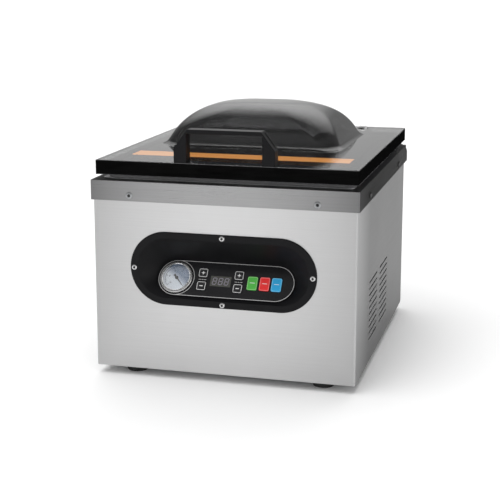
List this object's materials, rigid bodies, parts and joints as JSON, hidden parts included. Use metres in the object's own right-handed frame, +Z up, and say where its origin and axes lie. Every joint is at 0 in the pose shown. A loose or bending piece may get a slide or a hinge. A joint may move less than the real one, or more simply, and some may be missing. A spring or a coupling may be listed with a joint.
{
  "type": "vacuum chamber sealer",
  "caption": "Table-top vacuum chamber sealer: steel case with tilted control panel, smoked domed lid on rear hinges, pressed chamber with lifting seal bar, pump and electrics inside.",
  "frame": {"origin": "on the surface the feet stand on, under the centre of the overall box", "axes": "+X to the right of someone facing the controls, +Y towards the back (the longest extent), +Z up"},
  "size_m": [0.3678, 0.4479, 0.353],
  "materials": {
    "steel_wrap": "brushed, fine horizontal grain",
    "steel_panel": "satin",
    "steel_rim": "brushed along its length",
    "steel_tub": "pressed, satin",
    "zinc_plate": "zinc plated",
    "steel_bright": "bright",
    "smoke_acrylic": "clear smoke tint, polished",
    "black_plastic": "fine grained, satin",
    "black_gloss": "gloss",
    "rubber_black": "matt",
    "rubber_grey": "matt, ribbed",
    "silicone_tan": "smooth",
    "aluminium": "milled",
    "cast": "painted grey",
    "copper": "lacquered",
    "brass": "turned",
    "ptfe": "glass cloth tape",
    "board_green": "soldered board",
    "dial": "printed dial",
    "needle": "matt black",
    "glass": "clear",
    "window": "smoked window",
    "key_black": "satin",
    "key_green": "satin",
    "key_red": "satin",
    "key_blue": "satin"
  },
  "bodies": {
    "case": {"base_plate": "zinc_plate", "body_wrap": "steel_wrap", "rear_panel": "steel_panel", "rim_frame": "steel_rim", "case_screws": "steel_bright", "feet": "rubber_black", "rim_screws": "steel_bright", "chamber_tub": "steel_tub", "chamber_gasket": "rubber_grey", "suction_fitting": "brass", "lift_cylinders": "aluminium", "hinge_brackets": "zinc_plate", "hinge_pins": "steel_bright", "hinge_cover": "steel_rim", "lid_switch": "black_plastic", "panel_bezel": "black_plastic", "panel_face": "black_gloss", "panel_screws": "steel_bright", "display_window": "window", "control_board": "board_green", "gauge_case": "steel_bright", "gauge_dial": "dial", "gauge_glass": "glass", "motor_case": "cast", "motor_stator": "copper", "bearings": "steel_bright", "vane_housing": "cast", "pump_end_cover": "cast", "solenoid_valves": "black_plastic", "vacuum_hoses": "rubber_black", "transformer_core": "cast", "transformer_coil": "copper", "power_board": "board_green", "fan_frame": "black_plastic", "power_inlet": "black_plastic", "switch_housing": "black_plastic"},
    "lid": {"lid_cover": "smoke_acrylic", "lid_handle": "black_plastic", "lid_bolts": "steel_bright", "pressure_pad": "silicone_tan", "hinge_arms": "zinc_plate"},
    "seal_bar_lift": {"lift_pistons": "steel_bright", "seal_bar": "aluminium", "heating_wires": "steel_bright", "heating_cover": "ptfe", "bar_terminals": "brass"},
    "pump": {"motor_shaft": "steel_bright", "motor_fan": "black_plastic", "pump_rotor": "steel_bright"},
    "fan": {"fan_rotor": "black_plastic"},
    "needle": {"gauge_needle": "needle"},
    "rocker": {"power_rocker": "black_gloss"},
    "lid_plunger": {"lid_switch_plunger": "steel_bright"},
    "key_time_plus": {"key_time_plus": "key_black"},
    "key_time_minus": {"key_time_minus": "key_black"},
    "key_seal_plus": {"key_seal_plus": "key_black"},
    "key_seal_minus": {"key_seal_minus": "key_black"},
    "key_start": {"key_start": "key_green"},
    "key_stop": {"key_stop": "key_red"},
    "key_seal": {"key_seal": "key_blue"}
  },
  "joints": [
    {"name": "lid_hinge", "type": "hinge", "parent": "case", "child": "lid", "pos_m": [0, 0.2165, 0.264], "axis": [-1, 0, 0], "range_deg": [0, 65]},
    {"name": "seal_bar_stroke", "type": "slide", "parent": "case", "child": "seal_bar_lift", "axis": [0, 0, 1], "range_m": [0, 0.007]},
    {"name": "pump_spin", "type": "hinge", "parent": "case", "child": "pump", "pos_m": [0, 0.092, 0.088], "axis": [1, 0, 0], "continuous": true},
    {"name": "fan_spin", "type": "hinge", "parent": "case", "child": "fan", "pos_m": [0.092, 0.192, 0.096], "axis": [0, 1, 0], "continuous": true},
    {"name": "gauge_sweep", "type": "hinge", "parent": "case", "child": "needle", "pos_m": [-0.0693, -0.2028, 0.1385], "axis": [0, -0.8007, 0.599], "range_deg": [0, 270], "stiffness_Nm_per_rad": 0.00005, "springref_deg": -17.19},
    {"name": "power_rock", "type": "hinge", "parent": "case", "child": "rocker", "pos_m": [-0.07, 0.205, 0.06], "axis": [1, 0, 0], "range_deg": [0, 14]},
    {"name": "lid_plunger_slide", "type": "slide", "parent": "case", "child": "lid_plunger", "axis": [0, 0, 1], "range_m": [0, 0.002]},
    {"name": "key_time_plus_press", "type": "slide", "parent": "case", "child": "key_time_plus", "axis": [0, 0.8007, -0.599], "range_m": [0, 0.0006], "stiffness_N_per_m": 500, "springref_m": -0.001},
    {"name": "key_time_minus_press", "type": "slide", "parent": "case", "child": "key_time_minus", "axis": [0, 0.8007, -0.599], "range_m": [0, 0.0006], "stiffness_N_per_m": 500, "springref_m": -0.001},
    {"name": "key_seal_plus_press", "type": "slide", "parent": "case", "child": "key_seal_plus", "axis": [0, 0.8007, -0.599], "range_m": [0, 0.0006], "stiffness_N_per_m": 500, "springref_m": -0.001},
    {"name": "key_seal_minus_press", "type": "slide", "parent": "case", "child": "key_seal_minus", "axis": [0, 0.8007, -0.599], "range_m": [0, 0.0006], "stiffness_N_per_m": 500, "springref_m": -0.001},
    {"name": "key_start_press", "type": "slide", "parent": "case", "child": "key_start", "axis": [0, 0.8007, -0.599], "range_m": [0, 0.0006], "stiffness_N_per_m": 500, "springref_m": -0.001},
    {"name": "key_stop_press", "type": "slide", "parent": "case", "child": "key_stop", "axis": [0, 0.8007, -0.599], "range_m": [0, 0.0006], "stiffness_N_per_m": 500, "springref_m": -0.001},
    {"name": "key_seal_press", "type": "slide", "parent": "case", "child": "key_seal", "axis": [0, 0.8007, -0.599], "range_m": [0, 0.0006], "stiffness_N_per_m": 500, "springref_m": -0.001}
  ],
  "couplings": [
    {"joint": "lid_plunger_slide", "follows": "lid_hinge", "m_per_rad": 0.00175}
  ]
}
